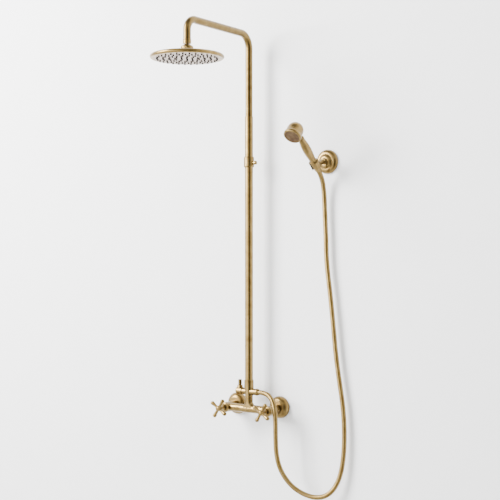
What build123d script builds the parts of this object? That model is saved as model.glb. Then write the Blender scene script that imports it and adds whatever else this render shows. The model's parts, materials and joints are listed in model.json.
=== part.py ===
"""Wall-mounted rainfall shower column with a hand shower, in antique brass.

Frame: the origin is midway between the two water inlets, on the wall face.
+X runs to the right along the wall, +Y goes into the wall, +Z is up. Millimetres.
"""
from build123d import *
import os
from math import cos, pi, radians, sin, tan

os.makedirs("parts", exist_ok=True)

# ---- Driving dimensions ------------------------------------------------------
INLET_PITCH = 150.0        # standard distance between the hot and cold inlets
COLUMN_OUT = 51.0          # column axis, out from the wall
MIXER_DROP = 5.0           # the eccentric unions drop the mixer below the inlets
RUN_FIT = 0.05             # radial running clearance of a shaft in its bore
SEAT_FIT = 0.04            # radial gap of pieces that are screwed or pushed together

TUBE_R = 11.75             # lower riser, sleeve and mixer bar
ARM_R = 10.35              # shower arm pipe
WALL = 1.2                 # tube wall
ARM_REACH = 287.0          # column axis to rain head axis
ARM_Z = 1078.0             # axis of the level part of the arm
BACK_BEND_R = 40.0
FRONT_BEND_R = 33.0
STEP_Z = 842.0             # where the sleeve ends on the arm pipe
COLLAR_LOW, COLLAR_HIGH = 694.0, 725.0
HEAD_R = 100.0
HEAD_FACE_Z = 968.0        # underside of the rain head
NOZZLE_FIELD_R = 81.0
NOZZLE_RINGS = 5

BRACKET_X, BRACKET_Z = 235.0, 703.0
CUP_OUT = 67.0             # cup centre, out from the wall
CUP_DROP = 12.0            # cup centre below the bracket axis
LEAN = 48.0                # the hand shower leans this far from upright, in degrees
HOSE_R = 7.0

COLUMN_Y = -COLUMN_OUT
MIXER_Z = -MIXER_DROP
OUTLET_Z = MIXER_Z + 50.0  # hose outlet and diverter axis
SIDES = {"left": -1, "right": 1}


# ---- Helpers -----------------------------------------------------------------
def finish(piece, name):
    """Label a finished piece and write it as its own file."""
    piece.part.label = name
    export_step(piece.part, f"parts/{name}.step")


def towards_room(x, z, out=0.0):
    """A plane whose Z axis points out of the wall, at a distance out from the wall face."""
    return Plane(origin=(x, -out, z), x_dir=(1, 0, 0), z_dir=(0, -1, 0))


def sideways(x, side, y=COLUMN_Y, z=OUTLET_Z):
    """A plane whose Z axis points along +X (side 1) or -X (side -1)."""
    return Plane(origin=(x, y, z), x_dir=(0, 1, 0), z_dir=(side, 0, 0))


def upright(z, x=0.0, y=COLUMN_Y):
    return Plane(origin=(x, y, z))


def profile_plane(plane):
    """The plane that holds a turned outline: its X is the radius, its Y the axis."""
    return Plane(origin=plane.origin, x_dir=plane.x_dir, z_dir=-plane.y_dir)


def turned(plane, outline):
    """A solid turned about the plane's Z axis from (radius, height) points."""
    with BuildPart() as piece:
        with BuildSketch(profile_plane(plane)):
            with BuildLine():
                Polyline(*outline, close=True)
            make_face()
        revolve(axis=Axis(plane.origin, plane.z_dir))
    return piece


def ring(plane, low, high, outer, inner, edge=0.0):
    """A plain ring between two heights, with both outer edges chamfered."""
    outline = [(inner, low), (outer, low)]
    if edge:
        outline = [(inner, low), (outer - edge, low), (outer, low + edge)]
    outline += [(outer, high - edge), (outer - edge, high)] if edge else [(outer, high)]
    return turned(plane, outline + [(inner, high)])


# ---- Wall unions -------------------------------------------------------------
TAIL_R = 10.4              # G1/2 male tail that screws into the wall
TAIL_LEN = 22.0
UNION_R = 12.0             # threaded front of the eccentric union
UNION_BORE = 7.5
UNION_FRONT = 27.0
WASHER = 2.0
FLANGE_R, FLANGE_DEPTH, FLANGE_SKIN, FLANGE_FLAT_R = 32.0, 20.0, 1.4, 17.8
NUT_BACK, NUT_LIP, NUT_FRONT = 20.6, 32.2, 38.0
NUT_FLATS = 28.6
SHANK_R = 10.0             # mixer inlet shank inside the nut
CHAMBER_BACK, CHAMBER_FRONT, CHAMBER_R = 38.4, 66.0, 14.5


def wall_flange(side):
    """Domed cover that hides the hole in the wall; its front fits round the lowered union."""
    plane = towards_room(side * INLET_PITCH / 2, 0)
    with BuildPart() as flange:
        with BuildSketch(profile_plane(plane)):
            with BuildLine():
                outer = ThreePointArc((FLANGE_R, 3), (28.6, 13.2), (FLANGE_FLAT_R + 1.2, FLANGE_DEPTH))
                behind = FLANGE_DEPTH - FLANGE_SKIN
                Polyline(outer @ 1, (0, FLANGE_DEPTH), (0, behind), (FLANGE_FLAT_R, behind))
                inner = ThreePointArc(
                    (FLANGE_FLAT_R, behind),
                    (28.6 - FLANGE_SKIN, 12.2),
                    (FLANGE_R - FLANGE_SKIN, 3),
                )
                Polyline(inner @ 1, (FLANGE_R - FLANGE_SKIN, 0), (FLANGE_R, 0), (FLANGE_R, 3))
            make_face()
        revolve(axis=Axis(plane.origin, plane.z_dir))
        with BuildSketch(towards_room(side * INLET_PITCH / 2, MIXER_Z, FLANGE_DEPTH + 1)):
            Circle(UNION_R + 0.4)
        extrude(amount=-FLANGE_SKIN - 2, mode=Mode.SUBTRACT)
    return flange


def eccentric_union(side):
    """S-union: a tail in the wall, an offset neck and a threaded front."""
    x = side * INLET_PITCH / 2
    sections = [
        (-TAIL_LEN, 0.0, TAIL_R), (3.0, 0.0, TAIL_R), (14.0, MIXER_Z, UNION_R),
        (UNION_FRONT, MIXER_Z, UNION_R),
    ]
    with BuildPart() as union:
        for (low, z_low, r_low), (high, z_high, r_high) in zip(sections, sections[1:]):
            with BuildSketch(towards_room(x, z_low, low)):
                Circle(r_low)
            with BuildSketch(towards_room(x, z_high, high)):
                Circle(r_high)
            loft()
        for (low, z_low, _), (high, z_high, _) in zip(sections, sections[1:]):
            with BuildSketch(towards_room(x, z_low, low)):
                Circle(UNION_BORE)
            with BuildSketch(towards_room(x, z_high, high)):
                Circle(UNION_BORE)
            loft(mode=Mode.SUBTRACT)
    return union


def union_nut(side):
    """Hexagon nut that pulls the mixer's shank onto the washer."""
    plane = towards_room(side * INLET_PITCH / 2, MIXER_Z, NUT_BACK)
    length = NUT_FRONT - NUT_BACK
    with BuildPart() as nut:
        with BuildSketch(plane):
            RegularPolygon(NUT_FLATS / 2, 6, major_radius=False)
        extrude(amount=length)
        with BuildSketch(plane):
            Circle(NUT_FLATS / 2 + 1.6)
        extrude(amount=length, mode=Mode.INTERSECT)
        with BuildSketch(plane):
            Circle(UNION_R + SEAT_FIT)
        extrude(amount=NUT_LIP - NUT_BACK, mode=Mode.SUBTRACT)
        with BuildSketch(plane):
            Circle(SHANK_R + SEAT_FIT)
        extrude(amount=length, mode=Mode.SUBTRACT)
    return nut


for side_name, side in SIDES.items():
    finish(wall_flange(side), f"wall_flange_{side_name}")
    finish(eccentric_union(side), f"eccentric_union_{side_name}")
    finish(union_nut(side), f"union_nut_{side_name}")
    union_plane = towards_room(side * INLET_PITCH / 2, MIXER_Z)
    washer = ring(union_plane, UNION_FRONT, UNION_FRONT + WASHER, UNION_R - 0.2, 8.0)
    finish(washer, f"inlet_washer_{side_name}")


# ---- Mixer body --------------------------------------------------------------
NECK_R = 11.5
NECK_TOP = MIXER_Z + 28.0
NECK_BORE = 7.0
BLEND_R, BLEND_REACH = 11.3, 22.0   # the quarter bends that blend the neck into the bar
VALVE_BORE, BONNET_BORE = 10.0, 11.7
VALVE_SEAT, BONNET_SEAT = 42.0, 59.6
COLLAR_LIP = 3.0           # collar on the shank that the union nut pulls on


def mixer_body():
    """Cast body: two valve chambers, the bar between them and the neck above."""
    bar_plane = Plane(origin=(-INLET_PITCH / 2, COLUMN_Y, MIXER_Z), x_dir=(0, 1, 0), z_dir=(1, 0, 0))
    with BuildPart() as body:
        with BuildSketch(bar_plane):
            Circle(TUBE_R)
        extrude(amount=INLET_PITCH)
        with BuildSketch(upright(MIXER_Z)):
            Circle(NECK_R)
        extrude(amount=NECK_TOP - MIXER_Z)
        bend_height = MIXER_Z + BLEND_REACH
        for side in SIDES.values():
            with BuildSketch(upright(bend_height)):
                Circle(BLEND_R)
            bend_axis = Axis((side * BLEND_REACH, COLUMN_Y, bend_height), (0, -side, 0))
            revolve(axis=bend_axis, revolution_arc=90)
        for side in SIDES.values():
            chamber_plane = towards_room(side * INLET_PITCH / 2, MIXER_Z, CHAMBER_BACK)
            with BuildSketch(chamber_plane):
                Circle(CHAMBER_R)
            extrude(amount=CHAMBER_FRONT - CHAMBER_BACK)
        for side in SIDES.values():
            x = side * INLET_PITCH / 2
            shank_start = UNION_FRONT + WASHER
            with BuildSketch(towards_room(x, MIXER_Z, shank_start)):
                Circle(UNION_R - 0.2)
            extrude(amount=COLLAR_LIP)
            with BuildSketch(towards_room(x, MIXER_Z, shank_start)):
                Circle(SHANK_R)
            extrude(amount=CHAMBER_BACK - shank_start + 1)
        for side in SIDES.values():
            x = side * INLET_PITCH / 2
            with BuildSketch(towards_room(x, MIXER_Z, UNION_FRONT + WASHER)):
                Circle(UNION_BORE)
            extrude(amount=VALVE_SEAT - UNION_FRONT - WASHER, mode=Mode.SUBTRACT)
            with BuildSketch(towards_room(x, MIXER_Z, VALVE_SEAT)):
                Circle(VALVE_BORE)
            extrude(amount=CHAMBER_FRONT - VALVE_SEAT, mode=Mode.SUBTRACT)
            with BuildSketch(towards_room(x, MIXER_Z, BONNET_SEAT)):
                Circle(BONNET_BORE)
            extrude(amount=CHAMBER_FRONT - BONNET_SEAT, mode=Mode.SUBTRACT)
        with BuildSketch(bar_plane):
            Circle(NECK_BORE)
        extrude(amount=INLET_PITCH, mode=Mode.SUBTRACT)
        with BuildSketch(upright(MIXER_Z)):
            Circle(NECK_BORE)
        extrude(amount=NECK_TOP - MIXER_Z, mode=Mode.SUBTRACT)
        with BuildSketch(upright(NECK_TOP)):
            Circle(9.0)
        extrude(amount=-8, mode=Mode.SUBTRACT)
    return body


finish(mixer_body(), "mixer_body")

# ---- Quarter-turn valves -----------------------------------------------------
SPINDLE_R = 4.0
HANDLE_OUT = 98.0          # middle of the cross arms, out from the wall
HUB_BACK = 78.0
ARM_TILT = 57.0            # the arms stand off the level by this angle
ARM_TIP_REACH = 25.6       # centre of the ball tip, from the hub's axis
TIP_R = 6.0


def cartridge(plane):
    """Brass headwork with a hollow for the ceramic disc and a bore for the spindle."""
    return turned(plane, [
        (8.6, 42.4), (9.95, 42.4), (9.95, 59.5), (SPINDLE_R + RUN_FIT, 59.5),
        (SPINDLE_R + RUN_FIT, 48.4), (8.6, 48.4),
    ])


def ceramic_disc(plane):
    """Turning disc with two opposite ports that line up with the inlet when open."""
    with BuildPart() as disc:
        with BuildSketch(Plane(plane.origin + plane.z_dir * 43.6, x_dir=plane.x_dir, z_dir=plane.z_dir)):
            Circle(8.3)
            with Locations((0, 5), (0, -5)):
                Circle(2.0, mode=Mode.SUBTRACT)
        extrude(amount=4.0)
    return disc


def valve_bonnet(plane):
    """Ring that is screwed into the chamber and holds the cartridge down."""
    return turned(plane, [
        (4.4, 59.8), (BONNET_BORE - SEAT_FIT, 59.8), (BONNET_BORE - SEAT_FIT, 66.2), (CHAMBER_R, 66.2),
        (CHAMBER_R, 69.0), (13.6, 70.6), (11.0, 71.4), (9.6, 73.4), (4.4, 73.4),
    ])


def spindle(plane):
    """Valve stem from the ceramic disc to the handle, with a bore for the handle screw."""
    return turned(plane, [
        (0, 47.7), (SPINDLE_R, 47.7), (SPINDLE_R, 92.0), (2.04, 92.0), (2.04, 84.0), (0, 84.0),
    ])


def cross_handle(plane):
    """Turned hub crossed by two round bars that swell into ball tips."""
    half_bar = [(4.2, 5.0), (4.0, 11.0), (4.3, 16.0), (5.3, 21.5), (TIP_R, ARM_TIP_REACH)]
    tip_middle = (TIP_R * cos(pi / 4), ARM_TIP_REACH + TIP_R * sin(pi / 4))
    tip_end = (0, ARM_TIP_REACH + TIP_R)
    with BuildPart() as handle:
        with BuildSketch(profile_plane(plane)):
            with BuildLine():
                Polyline(
                    (0, HUB_BACK), (7.2, HUB_BACK), (7.6, 80.5), (6.6, 84.0), (6.8, 90.0), (8.4, 95.0),
                    (8.6, 99.0), (7.6, 102.0), (6.8, 103.2), (0, 103.2), close=True,
                )
            make_face()
        revolve(axis=Axis(plane.origin, plane.z_dir))
        hub_centre = plane.origin + plane.z_dir * HANDLE_OUT
        for quarter in range(2):
            angle = radians(ARM_TILT + 90 * quarter)
            bar_plane = Plane(origin=hub_centre, x_dir=(0, -1, 0), z_dir=(cos(angle), 0, sin(angle)))
            with BuildSketch(profile_plane(bar_plane)):
                with BuildLine():
                    upper = Polyline(*half_bar)
                    ThreePointArc(upper @ 1, tip_middle, tip_end)
                    Line(tip_end, (0, -tip_end[1]))
                    lower = Polyline(*[(r, -h) for r, h in half_bar])
                    ThreePointArc(lower @ 1, (tip_middle[0], -tip_middle[1]), (0, -tip_end[1]))
                    Line(lower @ 0, upper @ 0)
                make_face()
            revolve(axis=Axis(bar_plane.origin, bar_plane.z_dir))
        bores = ((14.3, SPINDLE_R + SEAT_FIT, HUB_BACK), (9.0, 2.24, 92.0), (3.0, 6.04, 100.5))
        for depth, bore_r, low in bores:
            with BuildSketch(Plane(plane.origin + plane.z_dir * low, x_dir=plane.x_dir, z_dir=plane.z_dir)):
                Circle(bore_r)
            extrude(amount=depth, mode=Mode.SUBTRACT)
    return handle


def handle_screw(plane):
    """Cheese-head screw with a cross slot, down through the hub into the spindle."""
    with BuildPart() as screw:
        with BuildSketch(profile_plane(plane)):
            with BuildLine():
                Polyline(
                    (0, 85.0), (2.0, 85.0), (2.0, 100.6), (4.0, 100.6), (4.0, 101.6), (0, 101.6),
                    close=True,
                )
            make_face()
        revolve(axis=Axis(plane.origin, plane.z_dir))
        slot_plane = Plane(plane.origin + plane.z_dir * 101.6, x_dir=plane.x_dir, z_dir=plane.z_dir)
        with BuildSketch(slot_plane):
            Rectangle(5.0, 1.0)
            Rectangle(1.0, 5.0)
        extrude(amount=-0.7, mode=Mode.SUBTRACT)
    return screw


def handle_cap(plane):
    """Domed button that is pressed into the hub over the screw."""
    return turned(plane, [(0, 101.9), (6.0, 101.9), (6.0, 103.2), (5.2, 104.1), (3.4, 104.8), (0, 105.1)])


for side_name, side in SIDES.items():
    valve_plane = towards_room(side * INLET_PITCH / 2, MIXER_Z)
    finish(cartridge(valve_plane), f"valve_cartridge_{side_name}")
    finish(ceramic_disc(valve_plane), f"ceramic_disc_{side_name}")
    finish(valve_bonnet(valve_plane), f"valve_bonnet_{side_name}")
    finish(spindle(valve_plane), f"valve_spindle_{side_name}")
    finish(cross_handle(valve_plane), f"cross_handle_{side_name}")
    finish(handle_screw(valve_plane), f"handle_screw_{side_name}")
    finish(handle_cap(valve_plane), f"handle_cap_{side_name}")


# ---- Diverter tee and its valve ----------------------------------------------
TEE_LOW = MIXER_Z + 34.0
SOCKET_LOW, SOCKET_HIGH = MIXER_Z + 57.0, MIXER_Z + 84.0
SOCKET_R = 13.75
TUBE_SEAT = MIXER_Z + 62.0
OUTLET_R = 9.3
OUTLET_END = 24.6          # face that the hose nut comes up to
DIVERTER_BORE = 6.5
DIVERTER_FACE = -21.0


def neck_ring():
    """Grooved union ring between the mixer's neck and the tee."""
    return turned(upright(0), [
        (9.2, NECK_TOP + 0.1), (NECK_R - 0.9, NECK_TOP + 0.1), (NECK_R - 0.9, NECK_TOP + 0.9),
        (NECK_R - 0.1, NECK_TOP + 1.3),
        (NECK_R - 0.1, TEE_LOW - 1.3), (NECK_R - 0.9, TEE_LOW - 0.9), (NECK_R - 0.9, TEE_LOW - 0.1),
        (9.2, TEE_LOW - 0.1),
    ])


def diverter_tee():
    """Tee with the tube socket on top, the hose outlet right and the diverter chamber left."""
    with BuildPart() as tee:
        with BuildSketch(upright(TEE_LOW)):
            Circle(NECK_R)
        extrude(amount=SOCKET_LOW - TEE_LOW)
        with BuildSketch(sideways(DIVERTER_FACE, 1)):
            Circle(OUTLET_R)
        extrude(amount=OUTLET_END - DIVERTER_FACE)
        with BuildSketch(sideways(OUTLET_END, 1)):
            Circle(7.6)
        extrude(amount=7.4)
        with BuildSketch(upright(SOCKET_LOW)):
            Circle(SOCKET_R)
        extrude(amount=SOCKET_HIGH - SOCKET_LOW)
        chamfer(tee.faces().sort_by(Axis.Z)[-1].edges(), 0.8)
        with BuildSketch(upright(NECK_TOP - 7.5)):
            Circle(8.9)
        extrude(amount=TEE_LOW - NECK_TOP + 7.6)
        with BuildSketch(upright(NECK_TOP - 7.5)):
            Circle(DIVERTER_BORE)
        extrude(amount=SOCKET_HIGH - NECK_TOP + 7.5, mode=Mode.SUBTRACT)
        with BuildSketch(upright(TUBE_SEAT)):
            Circle(TUBE_R + SEAT_FIT)
        extrude(amount=SOCKET_HIGH - TUBE_SEAT, mode=Mode.SUBTRACT)
        with BuildSketch(sideways(0, 1)):
            Circle(5.0)
        extrude(amount=OUTLET_END + 7.4, mode=Mode.SUBTRACT)
        with BuildSketch(sideways(6.0, -1)):
            Circle(DIVERTER_BORE)
        extrude(amount=6.0 - DIVERTER_FACE, mode=Mode.SUBTRACT)
    return tee


def diverter_spool():
    """Turning plug with a cross port; its stem comes out on the left."""
    plug_r = DIVERTER_BORE - RUN_FIT
    with BuildPart() as spool:
        with BuildSketch(sideways(5.5, -1)):
            Circle(plug_r)
        extrude(amount=5.5 - DIVERTER_FACE - 0.5)
        with BuildSketch(sideways(0, -1)):
            Circle(4.0)
        extrude(amount=36.0)
        with BuildSketch(upright(OUTLET_Z - plug_r - 1)):
            Circle(3.6)
        extrude(amount=plug_r + 1, mode=Mode.SUBTRACT)
        with BuildSketch(sideways(6, -1)):
            Circle(3.6)
        extrude(amount=6.0, mode=Mode.SUBTRACT)
        for groove in (9.0, 15.0):
            with BuildSketch(sideways(-groove, -1)):
                Circle(plug_r)
                Circle(plug_r - 1.4, mode=Mode.SUBTRACT)
            extrude(amount=2.2, mode=Mode.SUBTRACT)
        with BuildSketch(sideways(-36.0, -1)):
            Circle(1.54)
        extrude(amount=-9.0, mode=Mode.SUBTRACT)
    return spool


def diverter_o_rings():
    """Two rubber rings in the spool's grooves."""
    plug_r = DIVERTER_BORE - RUN_FIT
    with BuildPart() as rings:
        for groove in (9.0, 15.0):
            with BuildSketch(sideways(-groove - 0.2, -1)):
                Circle(plug_r)
                Circle(plug_r - 1.36, mode=Mode.SUBTRACT)
            extrude(amount=1.8)
    return rings


CAP_R = 11.2
CAP_INNER, CAP_OUTER = -21.4, -43.0
BOSS_X = -32.0
PIN_R, PIN_LOW, PIN_HIGH = 5.3, OUTLET_Z + 12.0, OUTLET_Z + 33.5


def diverter_cap():
    """Barrel on the spool's stem, with a cone on top that carries the pin."""
    with BuildPart() as cap:
        with BuildSketch(profile_plane(sideways(0, -1))):
            with BuildLine():
                Polyline(
                    (4.0 + SEAT_FIT, -CAP_INNER), (CAP_R - 1, -CAP_INNER), (CAP_R, -CAP_INNER + 1),
                    (CAP_R, -CAP_OUTER - 3.4), (CAP_R - 1.2, -CAP_OUTER - 1.2), (CAP_R - 3.4, -CAP_OUTER),
                    (3.6, -CAP_OUTER), (3.6, 39.0), (1.6, 39.0), (1.6, 36.2), (4.0 + SEAT_FIT, 36.2),
                    close=True,
                )
            make_face()
        revolve(axis=Axis((0, COLUMN_Y, OUTLET_Z), (-1, 0, 0)))
        with BuildSketch(upright(OUTLET_Z + 5.0, BOSS_X)):
            Circle(9.9)
        with BuildSketch(upright(OUTLET_Z + 17.0, BOSS_X)):
            Circle(7.3)
        loft()
        with BuildSketch(upright(PIN_LOW, BOSS_X)):
            Circle(3.04)
        extrude(amount=5.1, mode=Mode.SUBTRACT)
    return cap


def diverter_pin():
    """Finger pin, screwed into the cone."""
    return turned(upright(0, BOSS_X), [
        (0, PIN_LOW + 0.2), (3.0, PIN_LOW + 0.2), (3.0, OUTLET_Z + 17.1), (4.6, OUTLET_Z + 17.1),
        (4.6, OUTLET_Z + 19.4),
        (PIN_R, OUTLET_Z + 20.4), (PIN_R, PIN_HIGH - 1.4), (PIN_R - 1.2, PIN_HIGH), (0, PIN_HIGH),
    ])


def diverter_screw():
    """Countersunk-style screw from the left that holds the barrel on its stem."""
    return turned(sideways(0, -1), [
        (0, 29.0), (1.5, 29.0), (1.5, 39.1), (3.3, 39.1), (3.3, 41.6), (1.2, 41.6), (1.2, 40.4), (0, 40.4),
    ])


finish(neck_ring(), "neck_union_ring")
finish(diverter_tee(), "diverter_tee")
finish(diverter_spool(), "diverter_spool")
finish(diverter_o_rings(), "diverter_o_rings")
finish(diverter_cap(), "diverter_cap")
finish(diverter_pin(), "diverter_pin")
finish(diverter_screw(), "diverter_screw")

# ---- Riser, collar and telescopic tube ---------------------------------------
RISER_TOP = COLLAR_HIGH - 3.0
TELESCOPE_R = 9.0
TELESCOPE_LOW = 455.0
PIPE_LOW = STEP_Z - 46.0
SCREW_Z = MIXER_Z + 712.0


def riser_tube():
    """Fixed lower riser, with a cross hole for the thumbscrew."""
    with BuildPart() as riser:
        with BuildSketch(upright(TUBE_SEAT + 0.1)):
            Circle(TUBE_R)
            Circle(TUBE_R - WALL, mode=Mode.SUBTRACT)
        extrude(amount=RISER_TOP - TUBE_SEAT - 0.1)
        with BuildSketch(sideways(0, 1, z=SCREW_Z)):
            Circle(2.9)
        extrude(amount=TUBE_R + 1, mode=Mode.SUBTRACT)
    return riser


def locking_collar():
    """Collar with a rounded lower edge, pushed over the riser's top and drilled for the screw."""
    with BuildPart() as collar:
        with BuildSketch(profile_plane(upright(0))):
            with BuildLine():
                low_edge = ThreePointArc(
                    (TUBE_R + SEAT_FIT, COLLAR_LOW), (14.0, COLLAR_LOW + 1.2), (15.0, COLLAR_LOW + 4)
                )
                Polyline(
                    low_edge @ 1, (15.0, COLLAR_HIGH - 3.4), (14.4, COLLAR_HIGH - 2.8),
                    (14.4, COLLAR_HIGH - 0.6),
                    (13.8, COLLAR_HIGH), (TELESCOPE_R + 0.3, COLLAR_HIGH),
                    (TELESCOPE_R + 0.3, RISER_TOP + 0.1),
                    (TUBE_R + SEAT_FIT, RISER_TOP + 0.1), low_edge @ 0,
                )
            make_face()
        revolve(axis=Axis((0, COLUMN_Y, 0), (0, 0, 1)))
        with BuildSketch(sideways(0, 1, z=SCREW_Z)):
            Circle(2.5 + RUN_FIT)
        extrude(amount=16.0, mode=Mode.SUBTRACT)
    return collar


def thumbscrew():
    """Clamping screw with a knurled-size head, from the right."""
    return turned(sideways(0, 1, z=SCREW_Z), [
        (0, TELESCOPE_R + 0.35), (2.5, TELESCOPE_R + 0.35), (2.5, 15.6), (4.2, 15.6), (4.2, 17.6),
        (5.5, 18.2), (5.5, 25.0),
        (4.6, 26.0), (0, 26.0),
    ])


finish(riser_tube(), "riser_tube")
finish(locking_collar(), "locking_collar")
finish(thumbscrew(), "collar_thumbscrew")
finish(ring(upright(0), 640.0, 670.0, TUBE_R - WALL - SEAT_FIT, TELESCOPE_R + 0.3), "guide_bush")
finish(ring(upright(0), TELESCOPE_LOW, STEP_Z - 4, TELESCOPE_R, TELESCOPE_R - WALL), "telescopic_tube")
piston_r = TUBE_R - WALL - RUN_FIT
finish(ring(upright(0), TELESCOPE_LOW - 12.3, TELESCOPE_LOW - 0.3, piston_r, 7.0, 0.8), "piston_ring")
finish(ring(upright(0), COLLAR_HIGH + 0.5, STEP_Z, TUBE_R, ARM_R + SEAT_FIT, 0.5), "upper_sleeve")


# ---- Shower arm --------------------------------------------------------------
ARM_END_Z = MIXER_Z + 1026.0
HEAD_Y = COLUMN_Y - ARM_REACH


def shower_arm():
    """Bent pipe: up out of the sleeve, level over the bather and down to the head."""
    with BuildPart() as arm:
        with BuildLine() as route:
            FilletPolyline(
                (0, COLUMN_Y, PIPE_LOW), (0, COLUMN_Y, ARM_Z), (0, HEAD_Y, ARM_Z),
                (0, HEAD_Y, ARM_END_Z - 10),
                radius=[BACK_BEND_R, FRONT_BEND_R],
            )
        with BuildSketch(upright(PIPE_LOW)):
            Circle(ARM_R)
            Circle(TELESCOPE_R + SEAT_FIT, mode=Mode.SUBTRACT)
        sweep(path=route.wires()[0])
    return arm


BALL_Z = MIXER_Z + 1003.0
BALL_R = 8.5
COUPLING_R = 11.3
SWIVEL_NUT_R = 17.0
SWIVEL_NUT_LOW = BALL_Z - 6.0
SEAT_R = 10.7              # spherical seat in the nut and the head's inlet


def arm_coupling():
    """Turned sleeve on the arm's end, threaded inside for the ball's stem."""
    low, high = MIXER_Z + 1013.0, MIXER_Z + 1026.0
    return turned(upright(0, y=HEAD_Y), [
        (7.04, low), (COUPLING_R - 0.6, low), (COUPLING_R, low + 0.6), (COUPLING_R, high - 4.4),
        (COUPLING_R - 0.7, high - 3.8),
        (COUPLING_R - 0.7, high - 3.0), (COUPLING_R, high - 2.4), (COUPLING_R, high - 0.6),
        (COUPLING_R - 0.6, high),
        (ARM_R + SEAT_FIT, high), (ARM_R + SEAT_FIT, high - 10.2), (7.04, high - 10.2),
    ])


def ball_stem():
    """Ball joint: a hollow stem in the coupling with a polished ball below."""
    with BuildPart() as ball:
        with BuildSketch(profile_plane(upright(BALL_Z, y=HEAD_Y))):
            with BuildLine():
                waist = (BALL_R * sin(radians(30)), BALL_R * cos(radians(30)))
                foot = (3.5, -(BALL_R**2 - 3.5**2) ** 0.5)
                ThreePointArc(foot, (BALL_R, 0), waist)
                Polyline(waist, (4.25, 9.6), (7.0, 11.0), (7.0, 21.0), (3.5, 21.0), foot)
            make_face()
        revolve(axis=Axis((0, HEAD_Y, BALL_Z), (0, 0, 1)))
    return ball


finish(shower_arm(), "shower_arm")
finish(arm_coupling(), "arm_coupling")
finish(ball_stem(), "ball_stem")


# ---- Rain head ---------------------------------------------------------------
RIM_HIGH = HEAD_FACE_Z + 11.0
PLATE_R = 90.0
PLATE_THICK = 1.2
MAT_LOW = HEAD_FACE_Z + PLATE_THICK + 0.1
NOZZLE_R, NOZZLE_PROUD = 2.4, 3.0
SWIRL = 5.0                # each ring of nozzles is turned by this much against the last


def nozzle_places():
    """One nozzle in the middle and rings of 6, 12, 18 ... around it."""
    places = [(0.0, 0.0)]
    for ring_number in range(1, NOZZLE_RINGS + 1):
        reach = NOZZLE_FIELD_R * ring_number / NOZZLE_RINGS
        count = 6 * ring_number
        for step in range(count):
            angle = radians(360 * step / count + SWIRL * ring_number)
            places.append((reach * cos(angle), reach * sin(angle)))
    return places


def swivel_nut():
    """Nut that holds the ball's liner down on the head's inlet, with finger grooves."""
    with BuildPart() as nut:
        with BuildSketch(profile_plane(upright(BALL_Z, y=HEAD_Y))):
            with BuildLine():
                lip_r, seat_low = 9.2, -1.2
                lip = (lip_r, (SEAT_R**2 - lip_r**2) ** 0.5)
                foot = ((SEAT_R**2 - seat_low**2) ** 0.5, seat_low)
                ThreePointArc(foot, (SEAT_R * cos(0.2), SEAT_R * sin(0.2)), lip)
                Polyline(
                    lip, (9.8, 7.0), (11.4, 6.4), (15.4, 3.6), (SWIVEL_NUT_R, 1.8), (SWIVEL_NUT_R, -5.0),
                    (SWIVEL_NUT_R - 1.0, -6.0), (13.04, -6.0), (13.04, seat_low), foot,
                )
            make_face()
        revolve(axis=Axis((0, HEAD_Y, BALL_Z), (0, 0, 1)))
        with BuildSketch(upright(BALL_Z - 6.0, y=HEAD_Y)):
            with PolarLocations(SWIVEL_NUT_R + 0.5, 24):
                Circle(1.0)
        extrude(amount=6.2, mode=Mode.SUBTRACT)
    return nut


def ball_liner():
    """Spherical plastic ring between the ball and its seat, which slides on both."""
    inner_r, outer_r = BALL_R + 0.1, SEAT_R - 0.1
    top, foot = radians(33), radians(-50)
    with BuildPart() as liner:
        with BuildSketch(profile_plane(upright(BALL_Z, y=HEAD_Y))):
            with BuildLine():
                outer_foot, outer_top = [(outer_r * cos(at), outer_r * sin(at)) for at in (foot, top)]
                inner_foot, inner_top = [(inner_r * cos(at), inner_r * sin(at)) for at in (foot, top)]
                ThreePointArc(outer_foot, (outer_r, 0), outer_top)
                Line(outer_top, inner_top)
                ThreePointArc(inner_top, (inner_r, 0), inner_foot)
                Line(inner_foot, outer_foot)
            make_face()
        revolve(axis=Axis((0, HEAD_Y, BALL_Z), (0, 0, 1)))
    return liner


def rain_head_shell():
    """Shallow dished shell with a full round rim and the threaded inlet in the middle."""
    with BuildPart() as shell:
        with BuildSketch(profile_plane(upright(0, y=HEAD_Y))):
            with BuildLine():
                rim_middle = (HEAD_R, HEAD_FACE_Z + 5.0)
                seat_top = ((SEAT_R**2 - 1.5**2) ** 0.5, BALL_Z - 1.5)
                ThreePointArc((PLATE_R + 4.6, HEAD_FACE_Z), (HEAD_R - 1.5, HEAD_FACE_Z + 1.6), rim_middle)
                ThreePointArc(rim_middle, (HEAD_R - 1.6, HEAD_FACE_Z + 8.8), (HEAD_R - 6.0, RIM_HIGH))
                Polyline(
                    (HEAD_R - 6.0, RIM_HIGH), (60.0, HEAD_FACE_Z + 14.0), (24.0, HEAD_FACE_Z + 17.0),
                    (15.6, HEAD_FACE_Z + 19.5), (14.6, HEAD_FACE_Z + 22.0), (14.6, SWIVEL_NUT_LOW - 0.3),
                    (12.96, SWIVEL_NUT_LOW - 0.3), (12.96, BALL_Z - 1.5), seat_top,
                )
                seat_foot = (6.0, BALL_Z - (SEAT_R**2 - 6.0**2) ** 0.5)
                ThreePointArc(seat_top, (SEAT_R * cos(0.5), BALL_Z - SEAT_R * sin(0.5)), seat_foot)
                Polyline(
                    seat_foot, (6.0, HEAD_FACE_Z + 15.6), (24.0, HEAD_FACE_Z + 15.0),
                    (60.0, HEAD_FACE_Z + 12.2), (PLATE_R - 1.0, HEAD_FACE_Z + 9.4),
                    (PLATE_R - 1.0, MAT_LOW),
                    (PLATE_R + 0.05, MAT_LOW), (PLATE_R + 0.05, HEAD_FACE_Z), (PLATE_R + 4.6, HEAD_FACE_Z),
                )
            make_face()
        revolve(axis=Axis((0, HEAD_Y, 0), (0, 0, 1)))
    return shell


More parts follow.
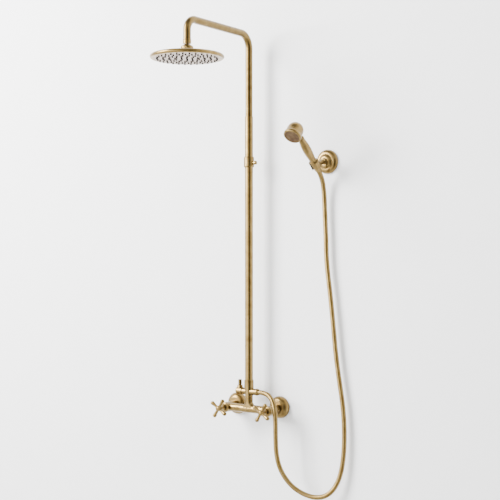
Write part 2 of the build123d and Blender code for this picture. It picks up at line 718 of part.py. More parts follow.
def rain_face_plate():
    """Thin steel plate with a hole for each nozzle."""
    with BuildPart() as plate:
        with BuildSketch(upright(HEAD_FACE_Z, y=HEAD_Y)):
            Circle(PLATE_R)
            with Locations(*nozzle_places()):
                Circle(NOZZLE_R + 0.15, mode=Mode.SUBTRACT)
        extrude(amount=PLATE_THICK)
    return plate


def nozzle_mat():
    """Rubber mat behind the plate, with a hollow tapered nozzle through each hole."""
    with BuildPart() as mat:
        with BuildSketch(upright(MAT_LOW, y=HEAD_Y)):
            Circle(PLATE_R - 1.6)
        extrude(amount=1.6)
        with BuildSketch(upright(HEAD_FACE_Z - NOZZLE_PROUD, y=HEAD_Y)):
            with Locations(*nozzle_places()):
                Circle(NOZZLE_R)
        extrude(amount=MAT_LOW - HEAD_FACE_Z + NOZZLE_PROUD + 0.2)
        with BuildSketch(upright(HEAD_FACE_Z - NOZZLE_PROUD, y=HEAD_Y)):
            with Locations(*nozzle_places()):
                Circle(0.7)
        extrude(amount=8.0, mode=Mode.SUBTRACT)
    return mat


finish(swivel_nut(), "swivel_nut")
finish(ball_liner(), "ball_liner")
finish(rain_head_shell(), "rain_head_shell")
finish(rain_face_plate(), "rain_face_plate")
finish(nozzle_mat(), "nozzle_mat")


# ---- Hand shower bracket -----------------------------------------------------
LEAN_DIR = Vector(0, -sin(radians(LEAN)), cos(radians(LEAN)))
CUP_CENTRE = Vector(BRACKET_X, -CUP_OUT, BRACKET_Z - CUP_DROP)
CUP_HALF = 12.0
CUP_R = 14.0
LINER_R = 12.6
LINER_TOP = 1.0            # the liner fills the cup up to here
CUP_MOUTH_R = 12.0
SLOT_WIDTH = 16.0
BOLT_SPACING = 34.0
ARM_BAR_R = 6.6


def along_handle(height):
    """A plane square to the hand shower's axis, at a height above the cup's centre."""
    return Plane(origin=CUP_CENTRE + LEAN_DIR * height, x_dir=(1, 0, 0), z_dir=LEAN_DIR)


def cup_radius(height):
    """The cup's tapered seat: wider at the top."""
    return 11.0 + 0.6 * height / CUP_HALF


def bracket_base():
    """Wall plate with two screw holes and a boss for the holder's spigot."""
    plane = towards_room(BRACKET_X, BRACKET_Z)
    with BuildPart() as base:
        with BuildSketch(profile_plane(plane)):
            with BuildLine():
                Polyline((5.0, 0), (27.0, 0), (27.0, 4.0), (9.0, 4.0), (9.0, 13.0), (5.0, 13.0), close=True)
            make_face()
        revolve(axis=Axis(plane.origin, plane.z_dir))
        with BuildSketch(plane):
            with Locations((BOLT_SPACING / 2, 0), (-BOLT_SPACING / 2, 0)):
                Circle(2.5)
        extrude(amount=4.0, mode=Mode.SUBTRACT)
        with BuildSketch(Plane(origin=(BRACKET_X, -9.0, BRACKET_Z), x_dir=(1, 0, 0), z_dir=(0, 0, -1))):
            Circle(1.5 + SEAT_FIT)
        extrude(amount=12.0, mode=Mode.SUBTRACT)
    return base


def bracket_flange():
    """Stepped dome that covers the wall plate."""
    plane = towards_room(BRACKET_X, BRACKET_Z)
    with BuildPart() as flange:
        with BuildSketch(profile_plane(plane)):
            with BuildLine():
                bulge = ThreePointArc((34.0, 3.0), (30.2, 9.2), (21.5, 12.6))
                Polyline(bulge @ 1, (20.4, 12.2), (19.6, 13.0))
                crown = ThreePointArc((19.6, 13.0), (15.8, 16.4), (10.4, 18.0))
                Polyline(
                    crown @ 1, (9.1, 18.0), (9.1, 16.6), (14.6, 15.2), (18.8, 11.2), (28.6, 8.0),
                    (32.4, 3.0), (32.4, 0),
                    (34.0, 0), (34.0, 3.0),
                )
            make_face()
        revolve(axis=Axis(plane.origin, plane.z_dir))
    return flange


def bracket_holder():
    """Spigot, straight bar and split cup in one casting."""
    spigot_plane = towards_room(BRACKET_X, BRACKET_Z)
    bar_start = Vector(BRACKET_X, -20.0, BRACKET_Z)
    bar_axis = CUP_CENTRE - bar_start
    with BuildPart() as holder:
        with BuildSketch(profile_plane(spigot_plane)):
            with BuildLine():
                Polyline(
                    (0, 5.0), (5.0 - SEAT_FIT, 5.0), (5.0 - SEAT_FIT, 13.1), (8.9, 13.1), (8.9, 19.0),
                    (7.6, 20.5),
                    (8.6, 22.0), (8.6, 24.5), (6.6, 26.5), (0, 26.5), close=True,
                )
            make_face()
        revolve(axis=Axis(spigot_plane.origin, spigot_plane.z_dir))
        with BuildSketch(Plane(origin=bar_start, x_dir=(1, 0, 0), z_dir=bar_axis)):
            Circle(ARM_BAR_R)
        extrude(amount=bar_axis.length)
        with BuildSketch(along_handle(-CUP_HALF)):
            Circle(CUP_R)
        extrude(amount=2 * CUP_HALF)
        round_edges = holder.edges().filter_by(GeomType.CIRCLE)
        chamfer(round_edges.filter_by(lambda edge: abs(edge.radius - CUP_R) < 0.01), 0.8)
        with BuildSketch(along_handle(-CUP_HALF - 8)):
            Circle(LINER_R)
        extrude(amount=CUP_HALF + 8 + LINER_TOP, mode=Mode.SUBTRACT)
        with BuildSketch(along_handle(LINER_TOP)):
            Circle(CUP_MOUTH_R)
        extrude(amount=CUP_HALF + 8, mode=Mode.SUBTRACT)
        with BuildSketch(along_handle(-CUP_HALF - 1)):
            with Locations((0, -CUP_R)):
                Rectangle(SLOT_WIDTH, 2 * CUP_R)
        extrude(amount=2 * CUP_HALF + 2, mode=Mode.SUBTRACT)
    return holder


def cup_liner():
    """Plastic liner in the lower half of the cup, with the tapered seat and the cup's slot."""
    with BuildPart() as liner:
        with BuildSketch(along_handle(-CUP_HALF)):
            Circle(LINER_R - SEAT_FIT)
        extrude(amount=CUP_HALF + LINER_TOP - SEAT_FIT)
        with BuildSketch(along_handle(-CUP_HALF)):
            Circle(cup_radius(-CUP_HALF))
        with BuildSketch(along_handle(CUP_HALF)):
            Circle(cup_radius(CUP_HALF))
        loft(mode=Mode.SUBTRACT)
        with BuildSketch(along_handle(-CUP_HALF - 1)):
            with Locations((0, -CUP_R)):
                Rectangle(SLOT_WIDTH - 1.0, 2 * CUP_R)
        extrude(amount=2 * CUP_HALF + 2, mode=Mode.SUBTRACT)
    return liner


def grub_screw():
    """Set screw in the boss that pinches the holder's spigot."""
    with BuildPart() as screw:
        with BuildSketch(Plane(origin=(BRACKET_X, -9.0, BRACKET_Z - 5.1), x_dir=(1, 0, 0), z_dir=(0, 0, -1))):
            Circle(1.5)
        extrude(amount=5.0)
        with BuildSketch(Plane(origin=(BRACKET_X, -9.0, BRACKET_Z - 10.1), x_dir=(1, 0, 0), z_dir=(0, 0, 1))):
            RegularPolygon(0.8, 6)
        extrude(amount=2.0, mode=Mode.SUBTRACT)
    return screw


finish(bracket_base(), "bracket_base")
finish(bracket_flange(), "bracket_flange")
finish(bracket_holder(), "bracket_holder")
finish(cup_liner(), "cup_liner")
finish(grub_screw(), "bracket_grub_screw")

# ---- Hand shower -------------------------------------------------------------
SEAT_GAP = 0.3
CONE_LOW, CONE_HIGH = -22.0, 14.0
TAIL_THREAD_R = 7.6
BELL_ALONG, BELL_FORWARD, BELL_TILT = 132.0, 4.0, -2.0
BELL_BACK_R, BELL_RIM_R, BELL_FACE = 22.6, 25.0, 25.0
FACE_R = 20.6              # spray plate, inside the rounded rim


def bell_plane():
    """The head's own plane: its Z axis is the way the water leaves."""
    handle_plane = along_handle(BELL_ALONG)
    tilt = radians(BELL_TILT)
    forward = -handle_plane.y_dir
    axis = forward * cos(tilt) + LEAN_DIR * sin(tilt)
    return Plane(origin=handle_plane.origin + forward * BELL_FORWARD, x_dir=(1, 0, 0), z_dir=axis)


def hose_cone_nut():
    """Tapered nut at the hose's upper end; it rests in the cup."""
    seat_low, seat_high = cup_radius(-CUP_HALF) - SEAT_GAP, cup_radius(CUP_HALF) - SEAT_GAP
    return turned(along_handle(0), [
        (4.6, CONE_LOW), (8.2, CONE_LOW), (8.8, CONE_LOW + 0.8), (seat_low, -CUP_HALF),
        (seat_high, CUP_HALF),
        (seat_high, CONE_HIGH - 0.6), (seat_high - 0.6, CONE_HIGH), (TAIL_THREAD_R + SEAT_FIT, CONE_HIGH),
        (TAIL_THREAD_R + SEAT_FIT, -5.4), (4.6, -5.4),
    ])


def hand_shower_handle():
    """Spindle-shaped hollow grip with a threaded tail."""
    with BuildPart() as handle:
        with BuildSketch(profile_plane(along_handle(0))):
            with BuildLine():
                tail = Polyline(
                    (5.0, -4.0), (TAIL_THREAD_R, -4.0), (TAIL_THREAD_R, 14.4), (9.6, 14.4),
                    (9.6, 17.0), (8.9, 18.0)
                )
                grip = Spline(tail @ 1, (11.0, 38.0), (12.1, 57.0), (10.9, 77.0), (8.4, 95.0))
                Polyline(grip @ 1, (6.0, 95.0), (6.0, 90.6), (5.0, 90.6), (5.0, -4.0))
            make_face()
        revolve(axis=Axis(CUP_CENTRE, LEAN_DIR))
    return handle


def hand_shower_collar():
    """Beaded ring between the grip and the head."""
    return turned(along_handle(0), [
        (6.1, 95.2), (8.4, 95.2), (9.1, 96.4), (9.1, 97.6), (8.2, 98.6), (9.0, 99.8), (9.0, 101.2),
        (8.0, 102.6), (6.1, 102.6),
    ])


def hand_shower_bell():
    """Bell-shaped head with a hollow neck that screws into the grip."""
    plane = bell_plane()
    with BuildPart() as bell:
        with BuildSketch(along_handle(91.0)):
            Circle(5.9)
        extrude(amount=12.0)
        with BuildSketch(along_handle(102.8)):
            Circle(7.4)
        extrude(amount=14.0)
        with BuildSketch(profile_plane(plane)):
            with BuildLine():
                back_middle = (BELL_BACK_R * cos(pi / 4), -BELL_BACK_R * sin(pi / 4))
                ThreePointArc((0, -BELL_BACK_R), back_middle, (BELL_BACK_R, 0))
                Polyline(
                    (BELL_BACK_R, 0), (23.0, 8.0), (23.8, 15.0), (BELL_RIM_R, 19.0),
                    (BELL_RIM_R, BELL_FACE - 3.0),
                )
                rim_middle = (BELL_RIM_R - 0.9, BELL_FACE - 0.9)
                ThreePointArc((BELL_RIM_R, BELL_FACE - 3.0), rim_middle, (BELL_RIM_R - 3.0, BELL_FACE))
                Polyline((BELL_RIM_R - 3.0, BELL_FACE), (0, BELL_FACE), (0, -BELL_BACK_R))
            make_face()
        revolve(axis=Axis(plane.origin, plane.z_dir))
        with BuildSketch(profile_plane(plane)):
            with BuildLine():
                inner_r = BELL_BACK_R - 2.0
                ThreePointArc((0, -inner_r), (inner_r * cos(pi / 4), -inner_r * sin(pi / 4)), (inner_r, 0))
                Polyline(
                    (inner_r, 0), (inner_r - 1.8, 19.0), (FACE_R, 19.0), (FACE_R, BELL_FACE + 1),
                    (0, BELL_FACE + 1),
                    (0, -inner_r),
                )
            make_face()
        revolve(axis=Axis(plane.origin, plane.z_dir), mode=Mode.SUBTRACT)
        with BuildSketch(along_handle(90.0)):
            Circle(4.4)
        extrude(amount=25.0, mode=Mode.SUBTRACT)
    return bell


def hand_shower_face():
    """Spray plate with rings of small holes."""
    plane = bell_plane()
    with BuildPart() as face:
        with BuildSketch(Plane(plane.origin + plane.z_dir * 19.2, x_dir=plane.x_dir, z_dir=plane.z_dir)):
            Circle(FACE_R - SEAT_FIT)
        extrude(amount=5.0)
        face_plane = Plane(plane.origin + plane.z_dir * 24.2, x_dir=plane.x_dir, z_dir=plane.z_dir)
        with BuildSketch(face_plane):
            Circle(0.8)
            for ring_number in range(1, 5):
                with PolarLocations(4.4 * ring_number, 6 * ring_number):
                    Circle(0.8)
        extrude(amount=-5.0, mode=Mode.SUBTRACT)
    return face


finish(hose_cone_nut(), "hose_cone_nut")
finish(ring(along_handle(0), -5.3, -4.1, TAIL_THREAD_R - 0.1, 4.7), "upper_hose_washer")
finish(hand_shower_handle(), "hand_shower_handle")
finish(hand_shower_collar(), "hand_shower_collar")
finish(hand_shower_bell(), "hand_shower_bell")
finish(hand_shower_face(), "hand_shower_face")

# ---- Hose --------------------------------------------------------------------
HOSE_START = (34.3, COLUMN_Y, OUTLET_Z)
HOSE_LAST = CUP_CENTRE + LEAN_DIR * (CONE_LOW - 28.0)
HOSE_END = CUP_CENTRE + LEAN_DIR * (CONE_LOW - 0.1)
HOSE_ROUTE = [
    HOSE_START, (56, COLUMN_Y, OUTLET_Z), (80, -57, 35), (96, -64, 15), (104, -68.5, -18), (105.5, -70, -70),
    (107, -69.5, -122), (119, -66, -168), (147, -58, -207), (184, -48, -230), (225, -37, -238),
    (259, -28, -224),
    (283, -22, -188), (295.5, -18, -136), (300, -17, -62), (296, -17, 15), (284, -17, 85), (272, -17, 160),
    (264, -17, 240), (254, -17, 330), (241.5, -17, 420), (239.5, -17, 500), (236, -17, 562),
    (235, -18.5, 614),
    tuple(HOSE_LAST), tuple(HOSE_END),
]


def corner_radii(route):
    """Each corner's arc: 0.45 of its shorter run over the tangent of half the turn."""
    radii = []
    for before, corner, after in zip(route, route[1:], route[2:]):
        run_in, run_out = Vector(*corner) - Vector(*before), Vector(*after) - Vector(*corner)
        turn = radians(run_in.get_angle(run_out))
        radii.append(0.45 * min(run_in.length, run_out.length) / tan(turn / 2))
    return radii


def hose():
    """Flexible metal hose, plain, from the tee's outlet to the hand shower."""
    start = Vector(*HOSE_ROUTE[0])
    with BuildPart() as tube:
        with BuildLine() as path:
            FilletPolyline(*HOSE_ROUTE, radius=corner_radii(HOSE_ROUTE))
        with BuildSketch(Plane(origin=start, z_dir=Vector(*HOSE_ROUTE[1]) - start)):
            Circle(HOSE_R)
        sweep(path=path.wires()[0])
    print("hose radii", [round(r) for r in corner_radii(HOSE_ROUTE)])
    length = path.wires()[0].length
    volume_ratio = tube.part.volume / (pi * HOSE_R**2 * length)
    print("hose length", round(length, 1), "volume over section times length", round(volume_ratio, 4))
    return tube


finish(turned(sideways(0, 1), [
    (7.64, 25.0), (9.6, 25.0), (10.0, 25.6), (10.0, 29.6), (9.5, 30.0), (9.5, 30.8), (9.9, 31.2),
    (8.6, 34.2), (4.6, 34.2),
    (4.6, 33.2), (7.64, 33.2),
]), "hose_outlet_nut")
finish(ring(sideways(0, 1), 32.1, 33.1, 7.5, 4.7), "lower_hose_washer")
finish(hose(), "shower_hose")
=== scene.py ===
"""Looks of the rainfall shower column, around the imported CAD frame. Metres, +Z up, wall face at Y = 0."""
import json
from math import cos, pi, radians, sin

import bmesh
import bpy
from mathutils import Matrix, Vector


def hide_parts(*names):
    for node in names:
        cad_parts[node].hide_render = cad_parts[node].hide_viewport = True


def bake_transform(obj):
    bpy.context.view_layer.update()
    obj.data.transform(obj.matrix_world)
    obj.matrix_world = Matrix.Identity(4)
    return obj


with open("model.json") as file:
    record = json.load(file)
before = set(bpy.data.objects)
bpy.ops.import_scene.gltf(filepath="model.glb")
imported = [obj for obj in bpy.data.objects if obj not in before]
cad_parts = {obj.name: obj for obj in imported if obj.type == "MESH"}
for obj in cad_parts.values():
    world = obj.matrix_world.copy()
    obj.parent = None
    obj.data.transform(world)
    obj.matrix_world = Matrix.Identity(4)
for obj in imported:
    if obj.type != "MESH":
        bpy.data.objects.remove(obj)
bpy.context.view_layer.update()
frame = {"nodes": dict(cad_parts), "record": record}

scene = bpy.context.scene

# ---- Camera ------------------------------------------------------------------
CAMERA_AZIMUTH = radians(35.3)
CAMERA_DISTANCE = 3.162
CAMERA_ASIDE = -0.0266
CAMERA_HEIGHT = 0.455
LENS_MM = 77.5


def make_camera():
    """A level camera, to the right of the column and a little above its middle."""
    forward = Vector((-sin(CAMERA_AZIMUTH), cos(CAMERA_AZIMUTH), 0))
    right = Vector((cos(CAMERA_AZIMUTH), sin(CAMERA_AZIMUTH), 0))
    data = bpy.data.cameras.new("camera")
    data.lens = LENS_MM
    data.sensor_width = 36
    camera = bpy.data.objects.new("camera", data)
    camera.location = right * CAMERA_ASIDE - forward * CAMERA_DISTANCE + Vector((0, 0, CAMERA_HEIGHT))
    camera.rotation_mode = "QUATERNION"
    camera.rotation_quaternion = forward.to_track_quat("-Z", "Y")
    scene.collection.objects.link(camera)
    scene.camera = camera


make_camera()

# ---- Node helpers ------------------------------------------------------------


def node_adder(tree):
    """A function that adds a node to the tree, sets its inputs or properties and links its sockets."""
    def add(kind, links=(), **settings):
        node = tree.nodes.new(kind)
        for key, value in settings.items():
            if key in node.inputs:
                node.inputs[key].default_value = value
            else:
                setattr(node, key, value)
        for socket, source in links:
            tree.links.new(source, node.inputs[socket])
        return node

    return add


def new_material(name):
    """A material, its Principled shader, and functions that add and link nodes in it."""
    material = bpy.data.materials.new(name)
    material.use_nodes = True
    tree = material.node_tree
    return material, tree.nodes["Principled BSDF"], node_adder(tree), tree.links.new


def ramp(add, source, stops):
    """A colour ramp over a value: stops are (place, colour)."""
    node = add("ShaderNodeValToRGB", [("Fac", source)])
    elements = node.color_ramp.elements
    while len(elements) < len(stops):
        elements.new(0.5)
    for element, (place, colour) in zip(elements, stops):
        element.position = place
        element.color = (*colour, 1)
    return node.outputs["Color"]


def grey(stops):
    """Colour stops from stops of (place, level)."""
    return [(place, (level, level, level)) for place, level in stops]


def noise(add, vector, scale, detail):
    return add("ShaderNodeTexNoise", [("Vector", vector)], Scale=scale, Detail=detail).outputs["Fac"]


def between(add, value, at_zero, at_one):
    """A value that goes from one number to another as the given one goes from 0 to 1."""
    ends = {"To Min": at_zero, "To Max": at_one}
    return add("ShaderNodeMapRange", [("Value", value)], **ends).outputs["Result"]


# ---- Materials ---------------------------------------------------------------
BRASS_LIGHT = (0.275, 0.190, 0.074)
BRASS_MID = (0.205, 0.134, 0.044)
BRASS_DARK = (0.120, 0.073, 0.020)
BRASS_ROUGH_LOW, BRASS_ROUGH_HIGH = 0.22, 0.37
CLOUD_SCALE, SPECK_SCALE, SPECK_SHARE = 55.0, 520.0, 0.45
ALONG_LINES, ACROSS_LINES = 40, 2600       # noise scales of the turning lines
TURNED = {
    "x": (ACROSS_LINES, ALONG_LINES, ALONG_LINES), "y": (ALONG_LINES, ACROSS_LINES, ALONG_LINES),
    "z": (ALONG_LINES, ALONG_LINES, ACROSS_LINES),
}


def brass(name, axis, painted_light_factor=1.0):
    """Antique brass with fine turning lines square to an axis and cloudy patina."""
    material, shader, add, link = new_material(name)
    place = add("ShaderNodeTexCoord").outputs["Object"]
    lines_place = add("ShaderNodeMapping", [("Vector", place)], Scale=TURNED[axis]).outputs["Vector"]
    lines = noise(add, lines_place, 1.0, 2.0)
    cloud = noise(add, place, CLOUD_SCALE, 6.0)
    speck = noise(add, place, SPECK_SCALE, 3.0)
    mix = add("ShaderNodeMix", [("A", cloud), ("B", speck)], data_type="FLOAT", Factor=SPECK_SHARE)
    patina = mix.outputs[0]
    tones = [(0.26, BRASS_DARK), (0.47, BRASS_MID), (0.72, BRASS_LIGHT)]
    # The tones are scaled by one factor: above one it paints light onto the brass, below one it paints
    # shade.
    colour = ramp(add, patina, [(level, [painted_light_factor * part for part in tone]) for level, tone in tones])
    link(colour, shader.inputs["Base Color"])
    shader.inputs["Metallic"].default_value = 1.0
    link(between(add, patina, BRASS_ROUGH_HIGH, BRASS_ROUGH_LOW), shader.inputs["Roughness"])
    bump = add("ShaderNodeBump", [("Height", lines)], Strength=0.10, Distance=0.0002)
    link(bump.outputs["Normal"], shader.inputs["Normal"])
    return material


def plain(name, low, high, rough, metallic=0.0, scale=60.0, specular=0.5):
    """A quieter finish for rubber, plastic, ceramic and steel: two tones, soft grain and a little bump."""
    material, shader, add, link = new_material(name)
    place = add("ShaderNodeTexCoord").outputs["Object"]
    grain = noise(add, place, scale, 4.0)
    link(ramp(add, grain, [(0.35, low), (0.65, high)]), shader.inputs["Base Color"])
    shader.inputs["Metallic"].default_value = metallic
    shader.inputs["Specular IOR Level"].default_value = specular
    link(between(add, grain, rough + 0.08, rough - 0.04), shader.inputs["Roughness"])
    bump = add("ShaderNodeBump", [("Height", grain)], Strength=0.1, Distance=0.0003)
    link(bump.outputs["Normal"], shader.inputs["Normal"])
    return material


brass_x = brass("brass_turned_x", "x")
brass_y = brass("brass_turned_y", "y")
brass_z = brass("brass_turned_z", "z")
# Copies of the brass with painted light and shade: the riser is painted 12% lighter, the arm 28% darker and
# the pin 45% darker, for how the light falls on them, not for the metal.
brass_riser_painted_light = brass("brass_riser_painted_light", "z", painted_light_factor=1.12)
brass_arm_painted_shade = brass("brass_arm_painted_shade", "y", painted_light_factor=0.72)
brass_pin_painted_shade = brass("brass_pin_painted_shade", "z", painted_light_factor=0.55)
steel = plain("face_steel", (0.215, 0.158, 0.118), (0.30, 0.228, 0.175), 0.34, metallic=0.85, scale=90.0)
dark_face = plain("spray_plate", (0.075, 0.042, 0.020), (0.15, 0.092, 0.042), 0.42, metallic=0.9)
screw_steel = plain("screw_steel", (0.50, 0.48, 0.45), (0.66, 0.64, 0.60), 0.35, metallic=1.0)
black_rubber = plain("black_rubber", (0.012, 0.012, 0.012), (0.035, 0.033, 0.030), 0.6)
nozzle_rubber = plain("nozzle_rubber", (0.006, 0.005, 0.004), (0.018, 0.014, 0.012), 0.55, specular=0.12)
black_plastic = plain("black_plastic", (0.010, 0.009, 0.008), (0.030, 0.027, 0.024), 0.45)
white_plastic = plain("white_plastic", (0.78, 0.78, 0.75), (0.88, 0.88, 0.86), 0.4)
ceramic = plain("ceramic", (0.84, 0.83, 0.80), (0.93, 0.92, 0.89), 0.12)

SLOT_MATERIALS = {
    "face_steel": steel, "spray_plate": dark_face, "screw_steel": screw_steel, "rubber": black_rubber,
    "nozzle_rubber": nozzle_rubber, "black_plastic": black_plastic, "white_plastic": white_plastic,
    "ceramic": ceramic,
}
# Pieces whose brass is a lighter or darker copy, with painted light or painted shade.
PAINTED_LIGHT_COPIES = {"riser_tube": brass_riser_painted_light, "shower_arm": brass_arm_painted_shade, "diverter_pin": brass_pin_painted_shade}
ALONG_X = ("diverter_cap", "diverter_spool", "collar_thumbscrew", "hose_outlet_nut")
ALONG_Y = (
    "wall_flange", "eccentric_union", "union_nut", "valve_", "cross_handle", "handle_cap", "bracket",
)


def turned_brass(name):
    """The brass whose turning lines go round the piece's own axis."""
    if name.startswith(ALONG_X):
        return brass_x
    return brass_y if name.startswith(ALONG_Y) else brass_z


def dress_cad_nodes():
    """Gives each CAD node the material of its slot, its own lighter or darker copy of the brass with
    painted light or shade, or the brass for its axis.
    """
    slots = {row["node"]: row["material_slot"] for row in frame["record"]["subparts"]}
    for name, node in frame["nodes"].items():
        material = SLOT_MATERIALS.get(slots[name]) or PAINTED_LIGHT_COPIES.get(name) or turned_brass(name)
        node.data.materials.clear()
        node.data.materials.append(material)


dress_cad_nodes()

# ---- Hose --------------------------------------------------------------------
HOSE_DIAMETER = 0.014
RIB_PITCH = 0.0026
RIB_DEPTH = 0.00030
RIB_RINGS = 5
HOSE_SIDES = 24
LEAN = radians(48)
LEAN_DIR = Vector((0, -sin(LEAN), cos(LEAN)))
CUP_CENTRE = Vector((0.235, -0.067, 0.691))
HOSE_START = Vector((0.0343, -0.051, 0.045))
HOSE_ROUTE = [
    HOSE_START,
    (0.056, -0.051, 0.045), (0.080, -0.057, 0.035), (0.096, -0.064, 0.015), (0.104, -0.0685, -0.018),
    (0.1055, -0.070, -0.070), (0.107, -0.0695, -0.122), (0.119, -0.066, -0.168), (0.147, -0.058, -0.207),
    (0.184, -0.048, -0.230), (0.225, -0.037, -0.238), (0.259, -0.028, -0.224), (0.283, -0.022, -0.188),
    (0.2955, -0.018, -0.136), (0.300, -0.017, -0.062), (0.296, -0.017, 0.015), (0.284, -0.017, 0.085),
    (0.272, -0.017, 0.160), (0.264, -0.017, 0.240), (0.254, -0.017, 0.330), (0.2415, -0.017, 0.420),
    (0.2395, -0.017, 0.500), (0.236, -0.017, 0.562), (0.235, -0.0185, 0.614),
    CUP_CENTRE - LEAN_DIR * 0.050, CUP_CENTRE - LEAN_DIR * 0.0221,
]


def spline_points(route, steps=24):
    """Points along the smooth NURBS line that has the route as its control points."""
    curve = bpy.data.curves.new("hose_line", "CURVE")
    curve.dimensions = "3D"
    curve.resolution_u = steps
    spline = curve.splines.new("NURBS")
    spline.points.add(len(route) - 1)
    for point, place in zip(spline.points, route):
        point.co = (*place, 1)
    spline.order_u = 3
    spline.use_endpoint_u = True
    line = bpy.data.objects.new("hose_line", curve)
    mesh = bpy.data.meshes.new_from_object(line)
    points = [vertex.co.copy() for vertex in mesh.vertices]
    bpy.data.objects.remove(line)
    bpy.data.curves.remove(curve)
    bpy.data.meshes.remove(mesh)
    return points


def even_stations(points, spacing):
    """Places and directions at even distances along a line of points."""
    stations = []
    carried = 0.0
    for start, end in zip(points, points[1:]):
        run = end - start
        while carried <= run.length:
            stations.append((start + run.normalized() * carried, run.normalized()))
            carried += spacing
        carried -= run.length
    stations.append((points[-1], stations[-1][1]))
    return stations


def tube_mesh(name, stations, radius_at, sides):
    """A closed tube through the stations, its frame carried along without twist."""
    mesh = bmesh.new()
    side = stations[0][1].orthogonal().normalized()
    rings = []
    for number, (place, direction) in enumerate(stations):
        side = (side - direction * side.dot(direction)).normalized()
        other = direction.cross(side)
        radius = radius_at(number)
        ring = []
        for k in range(sides):
            angle = 2 * pi * k / sides
            ring.append(mesh.verts.new(place + (side * cos(angle) + other * sin(angle)) * radius))
        rings.append(ring)
    for ring, following in zip(rings, rings[1:]):
        for k in range(sides):
            beside = (k + 1) % sides
            mesh.faces.new((ring[k], ring[beside], following[beside], following[k]))
    mesh.faces.new(list(reversed(rings[0])))
    mesh.faces.new(rings[-1])
    return mesh_object(name, mesh)


def mesh_object(name, mesh):
    """Turns a bmesh into a smooth, linked object."""
    bmesh.ops.recalc_face_normals(mesh, faces=mesh.faces)
    data = bpy.data.meshes.new(name)
    mesh.to_mesh(data)
    mesh.free()
    for polygon in data.polygons:
        polygon.use_smooth = True
    piece = bpy.data.objects.new(name, data)
    scene.collection.objects.link(piece)
    return piece


def hose_radius(number):
    """The hose's radius at a station: one shallow groove between two ribs."""
    return HOSE_DIAMETER / 2 - RIB_DEPTH * (0.5 - 0.5 * cos(2 * pi * number / RIB_RINGS)) ** 2


def make_hose():
    """Wound metal hose: a tube with fine rounded ribs, bent along its route up to the hand shower's cup."""
    line = spline_points(HOSE_ROUTE)
    stations = even_stations(line, RIB_PITCH / RIB_RINGS)
    hose = tube_mesh("wound_hose", stations, hose_radius, HOSE_SIDES)
    hose.data.materials.append(brass_z)
    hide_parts("shower_hose")
    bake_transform(hose)


make_hose()

# ---- Stage and light ---------------------------------------------------------
FLOOR_Z, FLOOR_FRONT, FLOOR_BACK, FLOOR_HALF_WIDTH = -0.95, -2.6, 0.6, 2.2
WALL_Y, WALL_TOP, WALL_HALF_WIDTH = 0.0005, 3.2, 4
FLOOR_COLOUR, WALL_COLOUR = (0.40, 0.40, 0.39), (0.88, 0.88, 0.88)
KEY_PLACE, KEY_TARGET, KEY_SIZE, KEY_POWER = (-1.9, -2.3, 1.9), (0.1, 0, 0.45), (1.3, 2.2), 440
STUDIO_STRENGTH = 5.8
STUDIO_AROUND = [        # degrees to the right of the direction towards the camera, level
    (-180, 0.26), (-118, 0.28), (-100, 0.66), (-44, 0.86), (-27, 0.56), (-14, 0.06), (4, 0.01), (24, 0.01),
    (36, 0.20), (52, 0.34), (75, 0.22), (180, 0.20),
]
STUDIO_UP = [(0.44, 0.36), (0.66, 0.26), (0.80, 0.10), (1.0, 0.06)]    # height, level
OVERHEAD_SHARE = [(0.34, 0), (0.50, 1)]    # height, how much of the overhead light there is in the mix


def flat_stage(name, corners, colour):
    """A flat stage piece, which can be looked through from its back."""
    material, shader, add, link = new_material(name)
    grain = noise(add, add("ShaderNodeTexCoord").outputs["Object"], 9.0, 5.0)
    darker = [0.985 * part for part in colour]
    link(ramp(add, grain, [(0.3, darker), (0.7, colour)]), shader.inputs["Base Color"])
    shader.inputs["Roughness"].default_value = 0.9
    clear = add("ShaderNodeBsdfTransparent")
    facing = add("ShaderNodeNewGeometry").outputs["Backfacing"]
    mix = add("ShaderNodeMixShader", [(0, facing), (1, shader.outputs[0]), (2, clear.outputs[0])])
    link(mix.outputs[0], material.node_tree.nodes["Material Output"].inputs["Surface"])
    data = bpy.data.meshes.new(name)
    data.from_pydata(corners, [], [(0, 1, 2, 3)])
    data.materials.append(material)
    piece = bpy.data.objects.new(name, data)
    scene.collection.objects.link(piece)


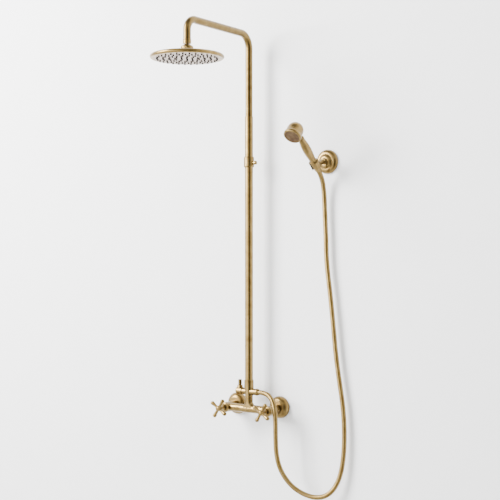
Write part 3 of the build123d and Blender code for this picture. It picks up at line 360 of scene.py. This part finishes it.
def make_stage():
    """A floor and the wall that the column is mounted on."""
    flat_stage("floor", [
        (-FLOOR_HALF_WIDTH, FLOOR_FRONT, FLOOR_Z), (FLOOR_HALF_WIDTH, FLOOR_FRONT, FLOOR_Z),
        (FLOOR_HALF_WIDTH, FLOOR_BACK, FLOOR_Z), (-FLOOR_HALF_WIDTH, FLOOR_BACK, FLOOR_Z),
    ], FLOOR_COLOUR)
    flat_stage("wall", [
        (-WALL_HALF_WIDTH, WALL_Y, FLOOR_Z), (WALL_HALF_WIDTH, WALL_Y, FLOOR_Z),
        (WALL_HALF_WIDTH, WALL_Y, WALL_TOP), (-WALL_HALF_WIDTH, WALL_Y, WALL_TOP),
    ], WALL_COLOUR)


def make_key_light():
    """One soft area light from the front, on the left and above."""
    data = bpy.data.lights.new("key", "AREA")
    data.shape = "RECTANGLE"
    data.size, data.size_y = KEY_SIZE
    data.energy = KEY_POWER
    light = bpy.data.objects.new("key", data)
    light.location = KEY_PLACE
    light.rotation_mode = "QUATERNION"
    light.rotation_quaternion = (Vector(KEY_TARGET) - Vector(KEY_PLACE)).to_track_quat("-Z", "Y")
    scene.collection.objects.link(light)


def make_world():
    """A studio for the metal: bright on the left, a narrow dark gap, softer on the right and overhead."""
    world = bpy.data.worlds.new("studio")
    world.use_nodes = True
    scene.world = world
    tree = world.node_tree
    add = node_adder(tree)
    direction = add("ShaderNodeTexCoord").outputs["Generated"]
    front = add("ShaderNodeVectorMath", [(0, direction)], operation="DOT_PRODUCT")
    front.inputs[1].default_value = (sin(CAMERA_AZIMUTH), -cos(CAMERA_AZIMUTH), 0)
    side = add("ShaderNodeVectorMath", [(0, direction)], operation="DOT_PRODUCT")
    side.inputs[1].default_value = (cos(CAMERA_AZIMUTH), sin(CAMERA_AZIMUTH), 0)
    both = [(0, side.outputs["Value"]), (1, front.outputs["Value"])]
    turn = add("ShaderNodeMath", both, operation="ARCTAN2")
    around = add("ShaderNodeMapRange", [("Value", turn.outputs[0])], **{"From Min": -pi, "From Max": pi})
    stops = [((degrees + 180) / 360, level) for degrees, level in STUDIO_AROUND]
    panorama = ramp(add, around.outputs["Result"], grey(stops))
    height = add("ShaderNodeSeparateXYZ", [(0, direction)]).outputs["Z"]
    above = ramp(add, height, grey(OVERHEAD_SHARE))
    overhead = ramp(add, height, grey(STUDIO_UP))
    mix = add("ShaderNodeMix", [("Factor", above), (6, panorama), (7, overhead)], data_type="RGBA")
    background = tree.nodes["Background"]
    tree.links.new(mix.outputs[2], background.inputs["Color"])
    background.inputs["Strength"].default_value = STUDIO_STRENGTH


make_stage()
make_world()
make_key_light()
